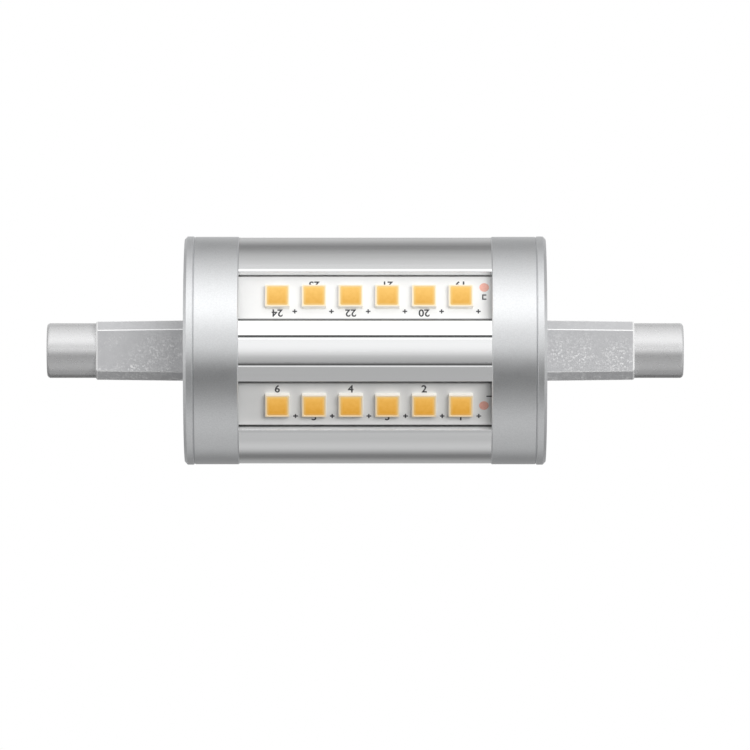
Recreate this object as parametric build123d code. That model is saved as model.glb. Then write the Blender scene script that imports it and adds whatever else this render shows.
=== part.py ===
from build123d import *
import os
from math import asin, cos, degrees, hypot, radians, sin, sqrt

# Linear LED bulb: a double-ended lamp. Four LED boards lie in the flats of a round heat sink,
# the driver sits inside it, and a contact post stands at each end.
# Millimetres. X runs along the lamp, the front bar faces -Y, +Z is up, origin at the lamp's middle.

# Overall sizes
overall_length = 78.0
heat_sink_diameter = 27.7
sleeve_proud = 0.1
cap_proud = 0.05

# Lengths along the lamp
turned_length = 3.5
end_chamber_length = 2.0
cap_thickness = 1.2
insulator_length = 6.05
window_margin = 2.75

# Section of the heat sink
bar_width = 3.88
strip_width = 2.0
rim_width = 0.38
floor_wall = 1.55
groove_bar_flank = 0.32
groove_strip_flank = 0.22
groove_depth = 0.058
edge_radius = 0.1
cut_margin = 1.0
corner_tolerance = 0.01

# LED boards
board_width = 5.79
board_thickness = 0.8
board_recess = 1.05
board_inner_gap = 0.7
board_outer_gap = 0.12
board_end_inset = 0.1
board_corner = 0.3

# LEDs
leds_per_board = 6
led_pitch = 4.46
led_row_shift = 0.48
led_size = 3.0
led_height = 0.65
led_edge = 0.06
fill_size = 2.6
fill_depth = 0.35
fill_corner = 0.35
fill_gap = 0.02
fill_sink = 0.03

# End sleeves and caps
fit_gap = 0.08
small_chamfer = 0.12
cap_rim_chamfer = 0.35
cap_ring_length = 0.9
cap_ring_wall = 0.5
peg_diameter = 2.0
peg_hole_gap = 0.05
peg_depth = 3.0

# Contact posts
post_root = 7.38
post_tip = 7.12
post_chamfer = 1.07
post_edge = 0.2
post_tip_edge = 0.15
post_hole_gap = 0.1
post_flange_diameter = 12.4
post_flange_thickness = 1.0
post_bore_diameter = 2.4

# Round end insulators and their contacts
insulator_diameter = 6.72
insulator_edge = 0.45
insulator_spigot_diameter = 4.5
insulator_spigot_length = 3.0
recess_diameter = 4.4
recess_depth = 1.3
recess_chamfer = 0.15
contact_head_diameter = 3.9
contact_head_thickness = 0.5
contact_dish_depth = 0.15
contact_pin_diameter = 1.6
contact_pin_reach = 1.0
contact_gap = 0.05

# Insulating tube and driver board
tube_gap = 0.2
tube_wall = 0.8
tube_overhang = 0.2
driver_drop = 3.6
driver_thickness = 1.2
driver_end_gap = 2.3
driver_edge_gap = 0.12
guide_thickness = 0.6
guide_reach = 0.6
guide_gap = 0.1

# Driver components: each x is along the lamp, and the outer rows stand beside the guides
component_gap = 0.15
bridge_x = -11.5
bridge_size = (4.7, 3.9, 1.5)
fuse_x = -11.5
fuse_length = 5.6
fuse_diameter = 2.3
fuse_waist_diameter = 1.8
fuse_clearance = 0.3
fuse_lead_diameter = 0.5
fuse_lead_reach = 0.9
input_capacitor_x = -4.6
input_capacitor_diameter = 6.3
input_capacitor_height = 9.0
output_capacitor_x = 12.3
output_capacitor_diameter = 4.0
output_capacitor_height = 7.0
capacitor_crimp = 0.3
capacitor_crimp_height = 1.2
transformer_x = 4.4
core_size = (10.0, 5.0, 8.5)
core_yoke = 1.4
core_leg = 1.4
core_centre_leg = 2.4
coil_gap = 0.08
coil_bulge = 1.7
chip_x = 12.3
chip_size = (4.9, 3.9, 1.45)
chip_pins = 4
chip_pin_pitch = 1.27
lead_width = 0.45
lead_thickness = 0.2
lead_reach = 1.0
resistor_size = (1.6, 0.8, 0.45)
resistor_count = 4
resistor_pitch = 2.2
resistor_row_start = -8.0
resistor_inset = 1.3

# Wiring
supply_wire_diameter = 1.3
supply_wire_bend = 1.5
supply_wire_inset = 1.1
link_diameter = 0.5
link_lift = 0.02
link_pad_length = 1.2
link_bends = 4
led_lead_end_insets = (0.7, 1.7)
led_lead_rises = (0.8, 1.6)
led_lead_edge_inset = 0.9

# Values worked out from the sizes above
heat_sink_radius = heat_sink_diameter / 2
sleeve_radius = heat_sink_radius + sleeve_proud
cap_radius = sleeve_radius + cap_proud

led_row_length = (leds_per_board - 1) * led_pitch + led_size
window_length = led_row_length + 2 * window_margin
shoulder_x = window_length / 2
heat_sink_end_x = shoulder_x + turned_length
sleeve_end_x = heat_sink_end_x + end_chamber_length
flange_x = sleeve_end_x - post_flange_thickness
cap_face_x = sleeve_end_x + cap_thickness
tip_x = overall_length / 2
step_x = tip_x - insulator_length

flat_width = strip_width + board_inner_gap + board_width + board_outer_gap + rim_width
flat_distance = sqrt(heat_sink_radius**2 - (flat_width / 2) ** 2)
bar_angle = degrees(asin(bar_width / 2 / heat_sink_radius))
flat_tilt = bar_angle + degrees(asin(flat_width / 2 / heat_sink_radius))

channel_depth = board_recess + board_thickness
channel_width = board_inner_gap + board_width + board_outer_gap
channel_shift = -flat_width / 2 + strip_width + channel_width / 2
board_top = flat_distance - board_recess
board_shift = channel_shift + (board_inner_gap - board_outer_gap) / 2
bore_radius = flat_distance - channel_depth - floor_wall

turned_radius = hypot(board_top, abs(board_shift) + board_width / 2)
sleeve_bore_radius = turned_radius + fit_gap
peg_offset = (bore_radius + turned_radius) / 2
peg_hole_radius = peg_diameter / 2 + peg_hole_gap

tube_radius = bore_radius - tube_gap
tube_bore_radius = tube_radius - tube_wall
tube_end_x = heat_sink_end_x + tube_overhang
driver_top = -driver_drop + driver_thickness / 2
driver_bottom = driver_top - driver_thickness
driver_half_length = tube_end_x - driver_end_gap
driver_half_width = sqrt(tube_bore_radius**2 - driver_bottom**2) - driver_edge_gap

guide_edge = driver_half_width - guide_reach
component_limit = guide_edge - component_gap
bridge_place = (bridge_x, component_limit - bridge_size[1] / 2 - lead_reach)
fuse_place = (fuse_x, -component_limit + fuse_diameter / 2)
input_capacitor_place = (input_capacitor_x, 0)
output_capacitor_place = (output_capacitor_x, component_limit - output_capacitor_diameter / 2)
transformer_place = (transformer_x, 0)
chip_place = (chip_x, -component_limit + chip_size[1] / 2 + lead_reach)

contact_seat_x = tip_x - recess_depth
contact_floor_x = contact_seat_x - contact_head_thickness
spigot_end_x = step_x - insulator_spigot_length
contact_end_x = spigot_end_x - contact_pin_reach

link_x = (tube_end_x + flange_x) / 2
link_ring_radius = (tube_radius + peg_offset - peg_diameter / 2) / 2

# The four flats, in the order in which the LED numbers run on from one to the next
flats = ("front_lower", "rear_lower", "rear_upper", "front_upper")


def along_x(section, start, end):
    """Extrude a section drawn in Y and Z from one place on the lamp's axis to another."""
    return extrude(Plane.YZ.offset(start) * section, amount=end - start)


def turned(points):
    """Turn a closed outline of (place on the axis, radius) points about the lamp's axis."""
    return revolve(make_face(Polyline(*points, close=True)), axis=Axis.X)


def upright(points, place, base):
    """Turn a closed outline of (radius, height) points about an upright axis."""
    outline = Plane.XZ * make_face(Polyline(*points, close=True))
    return Pos(place[0], place[1], base) * revolve(outline, axis=Axis.Z)


def flat_signs(name):
    """Side of a flat, front -1 or rear +1, and its level, upper +1 or lower -1."""
    side = -1 if "front" in name else 1
    level = 1 if "upper" in name else -1
    return side, level


def flat_plane(name, distance):
    """Plane parallel to a flat: local X along the lamp, local Y away from the bar, local Z outwards."""
    side, level = flat_signs(name)
    normal = Vector(0, side * cos(radians(flat_tilt)), level * sin(radians(flat_tilt)))
    return Plane(origin=normal * distance, x_dir=(-side * level, 0, 0), z_dir=normal)


def flat_point(name, x, shift, distance):
    """Point over a flat: place along the lamp, shift away from the bar, distance from the axis."""
    side, level = flat_signs(name)
    return flat_plane(name, distance).from_local_coords(Vector(-side * level * x, shift, 0))


def bent_wire(points, radius):
    """Round wire through points, mitred at its corners."""
    route = Polyline(*points)
    section = Plane(origin=route @ 0, z_dir=route % 0) * Circle(radius)
    return sweep(section, path=route, transition=Transition.RIGHT)


def cut_square(size, corner):
    """Square with its corners cut off."""
    return chamfer(Rectangle(size, size).vertices(), corner)


def flat_cut():
    """Everything cut from the round section at one flat: the flat, its channel and its groove."""
    outside = heat_sink_radius + cut_margin
    flat_height = outside - flat_distance
    flat = Pos(outside - flat_height / 2, 0) * Rectangle(flat_height, flat_width)
    channel_height = flat_height + channel_depth
    channel = Pos(outside - channel_height / 2, channel_shift) * Rectangle(channel_height, channel_width)
    groove_foot = heat_sink_radius - groove_depth
    rise = (outside - groove_foot) / groove_depth
    corners = [(groove_foot, 0), (outside, -groove_bar_flank * rise), (outside, groove_strip_flank * rise)]
    groove = make_face(Polyline(*corners, close=True))
    groove_angle = bar_angle - degrees(groove_strip_flank / heat_sink_radius)
    return Rot(0, 0, flat_tilt) * (flat + channel) + Rot(0, 0, groove_angle) * groove


def heat_sink_section():
    """Round section with four flats, their channels and grooves, the bore and the peg holes."""
    cut = flat_cut()
    cut += mirror(cut, about=Plane.XZ)
    cut += mirror(cut, about=Plane.YZ)
    section = Circle(heat_sink_radius) - cut
    section = fillet(channel_lips(section), edge_radius)
    section -= Circle(bore_radius)
    for level in (1, -1):
        section -= Pos(0, level * peg_offset) * Circle(peg_hole_radius)
    return section


def channel_lips(section):
    """Corners of the section where the channels meet the flats."""
    inner = hypot(flat_distance, channel_shift - channel_width / 2)
    outer = hypot(flat_distance, channel_shift + channel_width / 2)
    return section.vertices().filter_by(
        lambda corner: min(abs(hypot(corner.X, corner.Y) - lip) for lip in (inner, outer)) < corner_tolerance
    )


def heat_sink():
    """Extrusion with its two ends turned down to carry the sleeves."""
    body = along_x(heat_sink_section(), -heat_sink_end_x, heat_sink_end_x)
    waste = Circle(heat_sink_radius + cut_margin) - Circle(turned_radius)
    body -= along_x(waste, shoulder_x, heat_sink_end_x + cut_margin)
    body -= along_x(waste, -heat_sink_end_x - cut_margin, -shoulder_x)
    return body


def led_board(name):
    """White board that lies on the floor of its channel."""
    outline = RectangleRounded(2 * (heat_sink_end_x - board_end_inset), board_width, board_corner)
    foot = flat_plane(name, board_top - board_thickness)
    return extrude(foot * Pos(0, board_shift) * outline, amount=board_thickness)


def led_places(name):
    """Places of a board's LEDs along its flat, in the order of their numbers."""
    side, level = flat_signs(name)
    row = [led_row_shift + (i - (leds_per_board - 1) / 2) * led_pitch for i in range(leds_per_board)]
    if side < 0:
        row.reverse()
    return [(-side * level * x, board_shift) for x in row]


def led_package(name, place):
    """White package with a square cavity that holds the fill."""
    plane = flat_plane(name, board_top)
    body = Box(led_size, led_size, led_height, align=(Align.CENTER, Align.CENTER, Align.MIN))
    body = chamfer(body.faces().sort_by(Axis.Z)[-1].edges(), led_edge)
    cavity = cut_square(fill_size, fill_corner)
    body -= Pos(0, 0, led_height - fill_depth) * extrude(cavity, amount=fill_depth)
    return plane * Pos(*place) * body


def led_fill(name, place):
    """Yellow fill on the floor of a package's cavity."""
    pad = cut_square(fill_size - 2 * fill_gap, fill_corner)
    floor = flat_plane(name, board_top + led_height - fill_depth)
    return floor * Pos(*place) * extrude(pad, amount=fill_depth - fill_sink)


def end_sleeve():
    """Smooth band over the turned end, against the shoulder of the heat sink."""
    edge = small_chamfer
    return turned(
        [
            (shoulder_x, sleeve_bore_radius),
            (shoulder_x, sleeve_radius - edge),
            (shoulder_x + edge, sleeve_radius),
            (sleeve_end_x - edge, sleeve_radius),
            (sleeve_end_x, sleeve_radius - edge),
            (sleeve_end_x, sleeve_bore_radius),
        ]
    )


def post_section(size, gap=0.0):
    """Section of the post, or of a hole that clears it, with its eight edges softened."""
    section = cut_square(size + 2 * gap, post_chamfer)
    return fillet(section.vertices(), post_edge)


def post_size(x):
    """Width of the tapered post at a place along the lamp."""
    taper = (post_tip - post_root) / (step_x - cap_face_x)
    return post_root + taper * (x - cap_face_x)


def end_cap():
    """Disc with a chamfered rim, a ring inside the sleeve and two pegs in the heat sink's holes."""
    ring_radius = sleeve_bore_radius - fit_gap
    disc = Circle(cap_radius)
    cap = along_x(disc, sleeve_end_x, cap_face_x)
    cap = chamfer(cap.faces().sort_by(Axis.X)[-1].edges(), cap_rim_chamfer)
    cap = chamfer(cap.faces().sort_by(Axis.X)[0].edges(), small_chamfer)
    ring = Circle(ring_radius) - Circle(ring_radius - cap_ring_wall)
    cap += along_x(ring, sleeve_end_x - cap_ring_length, sleeve_end_x)
    for level in (1, -1):
        peg = Pos(0, level * peg_offset) * Circle(peg_diameter / 2)
        cap += along_x(peg, heat_sink_end_x - peg_depth, sleeve_end_x)
    hole = post_section(post_size(sleeve_end_x), post_hole_gap)
    return cap - along_x(hole, sleeve_end_x, cap_face_x)


def contact_post():
    """Tapered square post with a flange behind the cap and a bore for the supply wire."""
    root = Plane.YZ.offset(sleeve_end_x) * post_section(post_size(sleeve_end_x))
    shoulder = Plane.YZ.offset(step_x - post_tip_edge) * post_section(post_size(step_x - post_tip_edge))
    tip = Plane.YZ.offset(step_x) * post_section(post_tip, -post_tip_edge)
    post = loft([root, shoulder]) + loft([shoulder, tip])
    flange = Circle(post_flange_diameter / 2)
    post += along_x(flange, flange_x, sleeve_end_x)
    bore = Circle(post_bore_diameter / 2)
    post -= along_x(bore, flange_x, step_x)
    socket = Circle(insulator_spigot_diameter / 2 + fit_gap)
    return post - along_x(socket, spigot_end_x, step_x)


def end_insulator():
    """Round end with a recess at its tip and a spigot in the post."""
    radius = insulator_diameter / 2
    recess = recess_diameter / 2
    seat = contact_head_diameter / 2 + contact_gap
    bore = contact_pin_diameter / 2 + contact_gap
    spigot = insulator_spigot_diameter / 2
    body = turned(
        [
            (spigot_end_x, bore),
            (spigot_end_x, spigot),
            (step_x, spigot),
            (step_x, radius),
            (tip_x, radius),
            (tip_x, recess + recess_chamfer),
            (tip_x - recess_chamfer, recess),
            (contact_seat_x, recess),
            (contact_seat_x, seat),
            (contact_floor_x, seat),
            (contact_floor_x, bore),
        ]
    )
    circles = body.edges().filter_by(GeomType.CIRCLE)
    rims = circles.filter_by(lambda edge: edge.radius > radius - corner_tolerance)
    return fillet(rims.sort_by(Axis.X)[-1], insulator_edge)


def end_contact():
    """Metal contact: a dished head on the floor of the recess and a pin back into the post."""
    head = contact_head_diameter / 2
    pin = contact_pin_diameter / 2
    return turned(
        [
            (contact_end_x, 0),
            (contact_end_x, pin),
            (contact_floor_x, pin),
            (contact_floor_x, head),
            (contact_seat_x, head),
            (contact_seat_x, head - contact_dish_depth),
            (contact_seat_x - contact_dish_depth, pin),
            (contact_seat_x - contact_dish_depth, 0),
        ]
    )


def insulating_tube():
    """Tube in the heat sink's bore, with guides that hold the edges of the driver board."""
    section = Circle(tube_radius) - Circle(tube_bore_radius)
    inner = Circle(tube_bore_radius + tube_wall / 2)
    heights = (driver_top + guide_gap, driver_bottom - guide_gap - guide_thickness)
    for height in heights:
        shelf = Pos(0, height + guide_thickness / 2) * Rectangle(4 * tube_radius, guide_thickness)
        shelf -= Rectangle(2 * guide_edge, 4 * tube_radius)
        section += shelf & inner
    return along_x(section, -tube_end_x, tube_end_x)


def driver_board():
    """Circuit board between the guides."""
    size = (2 * driver_half_length, 2 * driver_half_width, driver_thickness)
    return Pos(0, 0, driver_bottom) * Box(*size, align=(Align.CENTER, Align.CENTER, Align.MIN))


def on_driver(place, size):
    """Block that stands on the driver board."""
    block = Box(*size, align=(Align.CENTER, Align.CENTER, Align.MIN))
    return Pos(place[0], place[1], driver_top) * block


def flat_package(place, size, pins, pitch):
    """Moulded package with a row of bent leads along each long side."""
    lift = lead_thickness / 2
    body = Pos(0, 0, lift) * on_driver(place, size)
    shoulder_height = size[2] / 2
    for side in (1, -1):
        for i in range(pins):
            x = place[0] + (i - (pins - 1) / 2) * pitch
            y = place[1] + side * (size[1] / 2 + lead_reach / 4)
            body += on_driver((x, y), (lead_width, lead_reach / 2, shoulder_height))
            y = place[1] + side * (size[1] / 2 + lead_reach * 3 / 4)
            body += on_driver((x, y), (lead_width, lead_reach / 2, lead_thickness))
    return body


def fuse_resistor():
    """Lying resistor with two bent leads."""
    body_radius = fuse_diameter / 2
    waist = fuse_waist_diameter / 2
    half = fuse_length / 2
    cap_length = fuse_length / 4
    height = driver_top + fuse_clearance + body_radius
    body = turned(
        [
            (-half, 0),
            (-half, body_radius),
            (-half + cap_length, body_radius),
            (-half + cap_length, waist),
            (half - cap_length, waist),
            (half - cap_length, body_radius),
            (half, body_radius),
            (half, 0),
        ]
    )
    body = Pos(fuse_place[0], fuse_place[1], height) * body
    for side in (1, -1):
        root = (fuse_place[0] + side * half, fuse_place[1], height)
        corner = (root[0] + side * fuse_lead_reach, root[1], height)
        foot = (corner[0], corner[1], driver_top)
        body += bent_wire([root, corner, foot], fuse_lead_diameter / 2)
    return body


def can_capacitor(place, diameter, height):
    """Upright can with a rolled crimp above its foot."""
    radius = diameter / 2
    waist = radius - capacitor_crimp
    middle = capacitor_crimp_height
    return upright(
        [
            (0, 0),
            (radius, 0),
            (radius, middle - capacitor_crimp),
            (waist, middle),
            (radius, middle + capacitor_crimp),
            (radius, height - capacitor_crimp),
            (radius - capacitor_crimp, height),
            (0, height),
        ],
        place,
        driver_top,
    )


def transformer_core():
    """Core with a centre leg and a window at each side of it."""
    width, depth, height = core_size
    window = (width - 2 * core_leg - core_centre_leg) / 2
    core = on_driver(transformer_place, core_size)
    for side in (1, -1):
        place = (transformer_place[0] + side * (core_centre_leg + window) / 2, transformer_place[1])
        opening = on_driver(place, (window, depth, height - 2 * core_yoke))
        core -= Pos(0, 0, core_yoke) * opening
    return core


def transformer_coil():
    """Winding round the centre leg, clear of the core all round."""
    width, depth, height = core_size
    outer = (width - 2 * core_leg - 2 * coil_gap, depth + 2 * coil_bulge)
    inner = (core_centre_leg + 2 * coil_gap, depth + 2 * coil_gap)
    ring = RectangleRounded(*outer, coil_bulge) - Rectangle(*inner)
    bottom = driver_top + core_yoke + coil_gap
    coil = extrude(ring, amount=height - 2 * core_yoke - 2 * coil_gap)
    return Pos(transformer_place[0], transformer_place[1], bottom) * coil


def chip_resistors():
    """Row of chip resistors along the edge of the driver board."""
    y = driver_half_width - resistor_inset
    places = [(resistor_row_start + i * resistor_pitch, y) for i in range(resistor_count)]
    return Compound(children=[on_driver(place, resistor_size) for place in places])


def supply_wire():
    """Wire from the contact's pin, through the post, down to the driver board."""
    x = driver_half_length - supply_wire_inset
    route = [
        (contact_end_x, 0, 0),
        (x + supply_wire_bend, 0, 0),
        (x, 0, -supply_wire_bend),
        (x, 0, driver_top),
    ]
    return bent_wire(route, supply_wire_diameter / 2)


def link_pad(name, end):
    """Points of a wire that lies on a board's end: over the pad, and where it turns inwards."""
    distance = board_top + link_lift + link_diameter / 2
    pad_x = end * (heat_sink_end_x - board_end_inset - link_pad_length)
    return [flat_point(name, x, board_shift, distance) for x in (pad_x, end * link_x)]


def led_leads():
    """Two leads from the driver board to the right ends of the two front boards."""
    y = -(driver_half_width - led_lead_edge_inset)
    leads = []
    for name, inset, rise in zip(("front_lower", "front_upper"), led_lead_end_insets, led_lead_rises):
        x = driver_half_length - inset
        pad, turn = link_pad(name, 1)
        route = [(x, y, driver_top), (x, y, driver_top + rise), (link_x, y, driver_top + rise), turn, pad]
        leads.append(bent_wire(route, link_diameter / 2))
    return Compound(children=leads)


def ring_route(start, end):
    """Points round the end of the insulating tube, from one point's direction to another's."""
    first = Vector(0, start.Y, start.Z).normalized()
    last = Vector(0, end.Y, end.Z)
    turn = first.get_signed_angle(last, Vector(1, 0, 0))
    arms = [first.rotate(Axis.X, turn * i / link_bends) for i in range(link_bends + 1)]
    return [Vector(start.X, 0, 0) + arm * link_ring_radius for arm in arms]


def board_link(first, second, end):
    """Wire from one board's end to the next board's, round the end of the insulating tube."""
    pad_a, turn_a = link_pad(first, end)
    pad_b, turn_b = link_pad(second, end)
    return bent_wire([pad_a, turn_a, *ring_route(turn_a, turn_b), turn_b, pad_b], link_diameter / 2)


def board_links():
    """Links that join the four boards in a row."""
    joins = (
        ("front_lower", "rear_lower", -1),
        ("rear_lower", "rear_upper", 1),
        ("rear_upper", "front_upper", -1),
    )
    return Compound(children=[board_link(*join) for join in joins])


def all_nodes():
    """Every piece of the lamp, by name."""
    nodes = {"heat_sink": heat_sink()}
    number = 0
    for name in flats:
        nodes[f"led_board_{name}"] = led_board(name)
        fills = []
        for place in led_places(name):
            number += 1
            nodes[f"led_{number:02d}"] = led_package(name, place)
            fills.append(led_fill(name, place))
        nodes[f"led_fill_{name}"] = Compound(children=fills)
    ends = {
        "end_sleeve": end_sleeve(),
        "end_cap": end_cap(),
        "contact_post": contact_post(),
        "end_insulator": end_insulator(),
        "end_contact": end_contact(),
        "supply_wire": supply_wire(),
    }
    for name, piece in ends.items():
        nodes[f"{name}_right"] = piece
        nodes[f"{name}_left"] = mirror(piece, about=Plane.YZ)
    nodes["insulating_tube"] = insulating_tube()
    nodes["driver_board"] = driver_board()
    nodes["bridge_rectifier"] = flat_package(bridge_place, bridge_size, 2, bridge_size[0] / 2)
    nodes["control_chip"] = flat_package(chip_place, chip_size, chip_pins, chip_pin_pitch)
    nodes["fuse_resistor"] = fuse_resistor()
    nodes["input_capacitor"] = can_capacitor(
        input_capacitor_place, input_capacitor_diameter, input_capacitor_height
    )
    nodes["output_capacitor"] = can_capacitor(
        output_capacitor_place, output_capacitor_diameter, output_capacitor_height
    )
    nodes["transformer_core"] = transformer_core()
    nodes["transformer_coil"] = transformer_coil()
    nodes["chip_resistors"] = chip_resistors()
    nodes["led_leads"] = led_leads()
    nodes["board_links"] = board_links()
    return nodes


os.makedirs("parts", exist_ok=True)
for node, piece in all_nodes().items():
    export_step(piece, f"parts/{node}.step")
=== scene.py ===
import math

import bmesh
import bpy
from bpy.props import FloatProperty, FloatVectorProperty, PointerProperty
from bpy.types import Operator, Panel, PropertyGroup
from mathutils import Matrix, Vector


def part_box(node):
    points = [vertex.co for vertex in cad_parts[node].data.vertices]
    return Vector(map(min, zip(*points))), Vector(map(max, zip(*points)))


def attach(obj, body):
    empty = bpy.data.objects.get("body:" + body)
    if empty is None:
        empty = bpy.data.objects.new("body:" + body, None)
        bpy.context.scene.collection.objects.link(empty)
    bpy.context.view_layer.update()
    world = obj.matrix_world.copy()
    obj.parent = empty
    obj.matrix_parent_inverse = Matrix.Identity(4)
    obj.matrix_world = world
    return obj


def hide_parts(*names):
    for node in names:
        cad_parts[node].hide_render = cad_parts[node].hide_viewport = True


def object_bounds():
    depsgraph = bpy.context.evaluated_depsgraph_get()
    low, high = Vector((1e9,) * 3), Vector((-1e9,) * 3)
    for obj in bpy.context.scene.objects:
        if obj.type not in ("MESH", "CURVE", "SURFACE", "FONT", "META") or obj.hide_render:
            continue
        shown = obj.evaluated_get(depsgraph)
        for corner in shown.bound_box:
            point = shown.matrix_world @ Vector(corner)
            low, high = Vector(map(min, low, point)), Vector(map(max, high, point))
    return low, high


bl_info = {
    "name": "Linear LED Bulb",
    "version": (1, 0, 0),
    "blender": (4, 5, 0),
    "location": "3D View > Sidebar > LED Bulb",
    "description": "Finishes, printed marks, LEDs and studio for a double-ended linear LED bulb",
    "category": "Object",
}

# The lamp as it was built, at rest, in metres
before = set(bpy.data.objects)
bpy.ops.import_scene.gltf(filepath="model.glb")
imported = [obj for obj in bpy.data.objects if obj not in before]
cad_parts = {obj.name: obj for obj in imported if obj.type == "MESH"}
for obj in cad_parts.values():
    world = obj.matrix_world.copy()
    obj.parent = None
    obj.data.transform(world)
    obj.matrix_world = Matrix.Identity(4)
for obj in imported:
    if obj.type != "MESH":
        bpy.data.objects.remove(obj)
CAD_LOW, CAD_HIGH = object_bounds()

MM = 0.001
BODY = "root"
ENDS = ("left", "right")
# Flats in the order in which the LED numbers run on from one to the next
FLATS = ("front_lower", "rear_lower", "rear_upper", "front_upper")
LEDS = [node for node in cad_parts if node.removeprefix("led_").isdigit()]
LEDS_PER_FLAT = len(LEDS) // len(FLATS)
# Sides of a post: four flats and four cut corners
POST_SIDES = 8
# Name of the points' value that says how deep the colour of an LED's package or fill is, from 0 to 1; on a
# package it sets how much painted tint and painted glow the rim takes
DEPTH = "depth"


def colour(label, text, default):
    """Colour that a user may change."""
    return FloatVectorProperty(
        name=label, description=text, subtype="COLOR", size=3, min=0.0, max=1.0, default=default
    )


def share(label, text, default):
    """Share between none and all that a user may change."""
    return FloatProperty(name=label, description=text, subtype="FACTOR", min=0.0, max=1.0, default=default)


def brightness(label, text, default):
    """Brightness that a user may change, where 1 is white."""
    return FloatProperty(name=label, description=text, min=0.0, default=default)


def length(label, text, millimetres):
    """Length that a user may change, given in millimetres and kept in metres."""
    metres = millimetres * MM
    return FloatProperty(
        name=label, description=text, subtype="DISTANCE", unit="LENGTH", precision=5, default=metres
    )


def angle(label, text, degrees):
    """Angle that a user may change, given in degrees."""
    return FloatProperty(
        name=label, description=text, subtype="ANGLE", unit="ROTATION", default=math.radians(degrees)
    )


class BodySettings(PropertyGroup):
    """Finishes of the heat sink, the sleeves and the caps."""

    aluminium: colour("Aluminium", "Colour of the extruded heat sink", (0.90, 0.905, 0.91))
    aluminium_roughness: share("Aluminium roughness", "How matt the heat sink is", 0.2)
    groove_place: length("Groove place", "Distance of the score grooves from the middle of the bar", 1.69)
    # Groove line and groove shade set the painted shade at the foot of each score groove
    groove_line: length("Groove line", "Width of the dark line at the foot of a score groove", 0.13)
    groove_shade: share("Groove shade", "How much darker the foot of a score groove is", 0.85)
    silver: colour("Silver", "Colour of the end sleeves and caps", (0.755, 0.765, 0.775))
    sleeve_roughness: share("Sleeve roughness", "How matt the sleeves are", 0.39)
    cap_roughness: share("Cap roughness", "How matt the caps are", 0.44)


class EndSettings(PropertyGroup):
    """Finishes of the contact posts, the round ends and their contacts."""

    post: colour("Post", "Colour of the square posts", (0.555, 0.557, 0.568))
    post_roughness: share("Post roughness", "How matt the posts are", 0.3)
    post_metal: share("Post metal", "How metallic the posts look", 0.25)
    # The sparkle colour is also that of the painted highlights on the posts' edges and outer rims
    sparkle: colour("Sparkle", "Colour of the flakes and the rubbed edges of the posts", (0.97, 0.97, 0.97))
    flake: length("Flake size", "Size of the sparkling flakes in the posts", 0.15)
    rubbed_rim: length("Rubbed rim", "Width of the rubbed rim at the outer end of a post", 0.2)
    round_end: colour("Round end", "Colour of the smooth round ends", (0.68, 0.68, 0.685))
    round_end_roughness: share("Round end roughness", "How matt the round ends are", 0.28)
    round_end_metal: share("Round end metal", "How metallic the round ends look", 0.42)
    contact: colour("Contact", "Colour of the contacts in the round ends", (0.80, 0.76, 0.68))


class BoardSettings(PropertyGroup):
    """Finish of the LED boards and their printed marks."""

    white: colour("Board white", "Colour of the boards", (0.88, 0.88, 0.87))
    # Painted shade darkens a board's margin and cut edge where they lie in shade; the cut edge is also
    # darker for its core
    core_shade: share("Core shade", "How much darker than its face a board's cut edge is", 0.7)
    bare_margin: length("Bare margin", "How far the white mask stops short of a board's long edges", 0.13)
    margin_shade: share("Margin shade", "How much darker the bare margin is", 0.42)
    ink: colour("Ink", "Colour of the printed numbers and marks", (0.045, 0.045, 0.05))
    dot: colour("Test dot", "Colour of the round dot at the end of each board", (0.94, 0.46, 0.38))
    number_height: length("Number height", "Height of the printed numbers", 1.38)
    boldness: length("Boldness", "How much the strokes of the numbers are thickened on each side", 0.025)
    even_place: length("Even numbers", "Distance of the even numbers from the LEDs, towards the bar", 2.02)
    odd_place: length("Odd numbers", "Distance of the odd numbers from the LEDs, away from the bar", 1.79)
    plus_size: length("Plus size", "Size of the polarity marks", 0.56)
    stroke: length("Stroke", "Width of the strokes of the marks", 0.16)
    dot_diameter: length("Dot diameter", "Diameter of the test dots", 1.17)
    ink_height: length("Ink height", "How far the print stands proud of a board", 0.012)


class LedSettings(PropertyGroup):
    """Shape and finish of the LEDs."""

    package: colour("Package", "Colour of the sides of the LED packages", (0.96, 0.94, 0.89))
    # The rim colour and the spill are a painted warm tint and a painted glow at the rims, standing in for
    # light from the fill
    rim_colour: colour("Rim colour", "Colour of the rims of the LED packages", (0.70, 0.59, 0.46))
    phosphor: colour("Phosphor", "Colour of the fill over each chip", (0.26, 0.20, 0.02))
    # The glow colours are a painted glow of the fill, which gives no light of its own
    glow: colour("Glow", "Light that the fill gives back by fluorescence", (0.655, 0.285, 0.016))
    thin_phosphor: colour("Thin phosphor", "Colour of the fill where it is thin", (0.45, 0.42, 0.20))
    thin_glow: colour("Thin glow", "Light that the fill gives back where it is thin", (0.42, 0.28, 0.14))
    spill: colour("Spill", "Light from the fill that comes out through the rim", (0.28, 0.20, 0.08))
    rim: length("Rim", "Width of the package's rim round the fill", 0.2)
    edge: length("Edge", "Rounding of the package's upper edges", 0.07)
    package_corner: length("Package corner", "Rounding of the package's upright corners", 0.14)
    fill_corner: length("Fill corner", "Rounding of the corners of the fill", 0.22)
    cavity_depth: length("Cavity depth", "Depth of the cavity that holds the fill", 0.35)
    dome: length("Dome", "How much higher the middle of the fill is than its brim", 0.05)


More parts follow.
